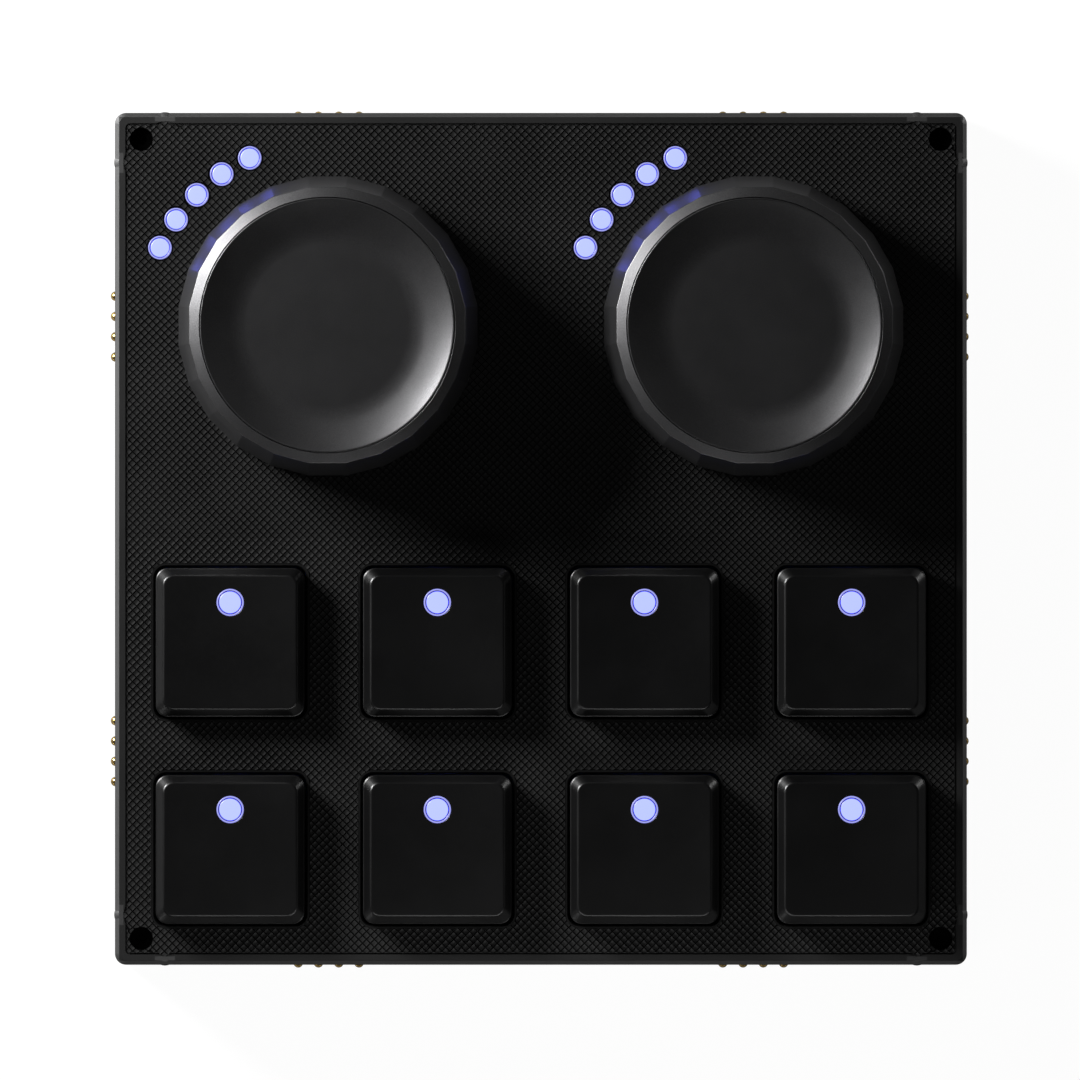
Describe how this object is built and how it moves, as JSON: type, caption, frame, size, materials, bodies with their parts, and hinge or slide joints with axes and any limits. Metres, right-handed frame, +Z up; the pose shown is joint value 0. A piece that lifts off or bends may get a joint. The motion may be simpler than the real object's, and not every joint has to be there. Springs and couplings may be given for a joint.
{
  "type": "macro keypad with knobs",
  "caption": "Square desk keypad with light-up push keys, large dished push-and-turn knobs, a textured top and spring contacts on every side for docking.",
  "frame": {"origin": "on the desk, under the middle of the square body", "axes": "+Z up, +X to the right, +Y to the rear, where the cable port is; the keys are at the front"},
  "size_m": [0.1075, 0.1073, 0.0402],
  "materials": {
    "case_plastic": "fine grained black",
    "cover_plastic": "black with a fine crossed relief",
    "keycap_plastic": "smooth black, satin gloss",
    "knob_shell_metal": "fine blasted, black anodised",
    "knob_dish_metal": "fine blasted, black anodised",
    "light_guide": "milky, lit pale blue from below",
    "led_resin": "pale resin",
    "gold_contact": "gold plated, polished",
    "board": "solder mask",
    "chip_plastic": "moulded black",
    "switch_plastic": "moulded dark grey",
    "stem_plastic": "moulded brown",
    "spring_steel": "bright wire",
    "block_plastic": "moulded black",
    "port_steel": "satin",
    "magnet_plate": "nickel plated",
    "black_screw": "blackened",
    "plain_screw": "zinc plated",
    "foot_rubber": "matte",
    "encoder_metal": "stamped and turned metal",
    "shaft_steel": "turned",
    "plunger_plastic": "moulded white"
  },
  "bodies": {
    "housing": {"bottom_case": "case_plastic", "top_cover": "cover_plastic", "main_board": "board", "controller_chip": "chip_plastic", "light_chips": "led_resin", "knob_lights": "light_guide", "switch_bases": "switch_plastic", "switch_tops": "switch_plastic", "contact_blocks": "block_plastic", "cable_port": "port_steel", "edge_magnets": "magnet_plate", "corner_screws": "black_screw", "board_screws": "plain_screw", "rubber_feet": "foot_rubber", "encoder_body_left": "encoder_metal", "encoder_body_right": "encoder_metal"},
    "key_1": {"keycap_1": "keycap_plastic", "key_light_1": "light_guide", "key_stem_1": "stem_plastic", "key_spring_1": "spring_steel"},
    "key_2": {"keycap_2": "keycap_plastic", "key_light_2": "light_guide", "key_stem_2": "stem_plastic", "key_spring_2": "spring_steel"},
    "key_3": {"keycap_3": "keycap_plastic", "key_light_3": "light_guide", "key_stem_3": "stem_plastic", "key_spring_3": "spring_steel"},
    "key_4": {"keycap_4": "keycap_plastic", "key_light_4": "light_guide", "key_stem_4": "stem_plastic", "key_spring_4": "spring_steel"},
    "key_5": {"keycap_5": "keycap_plastic", "key_light_5": "light_guide", "key_stem_5": "stem_plastic", "key_spring_5": "spring_steel"},
    "key_6": {"keycap_6": "keycap_plastic", "key_light_6": "light_guide", "key_stem_6": "stem_plastic", "key_spring_6": "spring_steel"},
    "key_7": {"keycap_7": "keycap_plastic", "key_light_7": "light_guide", "key_stem_7": "stem_plastic", "key_spring_7": "spring_steel"},
    "key_8": {"keycap_8": "keycap_plastic", "key_light_8": "light_guide", "key_stem_8": "stem_plastic", "key_spring_8": "spring_steel"},
    "left_push": {"encoder_plunger_left": "plunger_plastic"},
    "left_knob": {"encoder_shaft_left": "shaft_steel", "knob_shell_left": "knob_shell_metal", "knob_dish_left": "knob_dish_metal"},
    "right_push": {"encoder_plunger_right": "plunger_plastic"},
    "right_knob": {"encoder_shaft_right": "shaft_steel", "knob_shell_right": "knob_shell_metal", "knob_dish_right": "knob_dish_metal"},
    "left_pins": {"left_contacts": "gold_contact"},
    "right_pins": {"right_contacts": "gold_contact"},
    "front_pins": {"front_contacts": "gold_contact"},
    "rear_pins": {"rear_contacts": "gold_contact"}
  },
  "joints": [
    {"name": "key_1_press", "type": "slide", "parent": "housing", "child": "key_1", "axis": [0, 0, -1], "range_m": [0, 0.0036], "stiffness_N_per_m": 60, "springref_m": -0.005, "deforming": ["key_spring_1"]},
    {"name": "key_2_press", "type": "slide", "parent": "housing", "child": "key_2", "axis": [0, 0, -1], "range_m": [0, 0.0036], "stiffness_N_per_m": 60, "springref_m": -0.005, "deforming": ["key_spring_2"]},
    {"name": "key_3_press", "type": "slide", "parent": "housing", "child": "key_3", "axis": [0, 0, -1], "range_m": [0, 0.0036], "stiffness_N_per_m": 60, "springref_m": -0.005, "deforming": ["key_spring_3"]},
    {"name": "key_4_press", "type": "slide", "parent": "housing", "child": "key_4", "axis": [0, 0, -1], "range_m": [0, 0.0036], "stiffness_N_per_m": 60, "springref_m": -0.005, "deforming": ["key_spring_4"]},
    {"name": "key_5_press", "type": "slide", "parent": "housing", "child": "key_5", "axis": [0, 0, -1], "range_m": [0, 0.0036], "stiffness_N_per_m": 60, "springref_m": -0.005, "deforming": ["key_spring_5"]},
    {"name": "key_6_press", "type": "slide", "parent": "housing", "child": "key_6", "axis": [0, 0, -1], "range_m": [0, 0.0036], "stiffness_N_per_m": 60, "springref_m": -0.005, "deforming": ["key_spring_6"]},
    {"name": "key_7_press", "type": "slide", "parent": "housing", "child": "key_7", "axis": [0, 0, -1], "range_m": [0, 0.0036], "stiffness_N_per_m": 60, "springref_m": -0.005, "deforming": ["key_spring_7"]},
    {"name": "key_8_press", "type": "slide", "parent": "housing", "child": "key_8", "axis": [0, 0, -1], "range_m": [0, 0.0036], "stiffness_N_per_m": 60, "springref_m": -0.005, "deforming": ["key_spring_8"]},
    {"name": "left_knob_push", "type": "slide", "parent": "housing", "child": "left_push", "axis": [0, 0, -1], "range_m": [0, 0.0005], "stiffness_N_per_m": 4000, "springref_m": -0.0005},
    {"name": "left_knob_turn", "type": "hinge", "parent": "left_push", "child": "left_knob", "pos_m": [-0.0266, 0.0266, 0.0212], "axis": [0, 0, 1], "continuous": true},
    {"name": "right_knob_push", "type": "slide", "parent": "housing", "child": "right_push", "axis": [0, 0, -1], "range_m": [0, 0.0005], "stiffness_N_per_m": 4000, "springref_m": -0.0005},
    {"name": "right_knob_turn", "type": "hinge", "parent": "right_push", "child": "right_knob", "pos_m": [0.0266, 0.0266, 0.0212], "axis": [0, 0, 1], "continuous": true},
    {"name": "left_contacts_press", "type": "slide", "parent": "housing", "child": "left_pins", "axis": [1, 0, 0], "range_m": [0, 0.0006], "stiffness_N_per_m": 1500, "springref_m": -0.0005},
    {"name": "right_contacts_press", "type": "slide", "parent": "housing", "child": "right_pins", "axis": [-1, 0, 0], "range_m": [0, 0.00031], "stiffness_N_per_m": 1500, "springref_m": -0.0005},
    {"name": "front_contacts_press", "type": "slide", "parent": "housing", "child": "front_pins", "axis": [0, 1, 0], "range_m": [0, 0.00043], "stiffness_N_per_m": 1500, "springref_m": -0.0005},
    {"name": "rear_contacts_press", "type": "slide", "parent": "housing", "child": "rear_pins", "axis": [0, -1, 0], "range_m": [0, 0.00026], "stiffness_N_per_m": 1500, "springref_m": -0.0005}
  ]
}
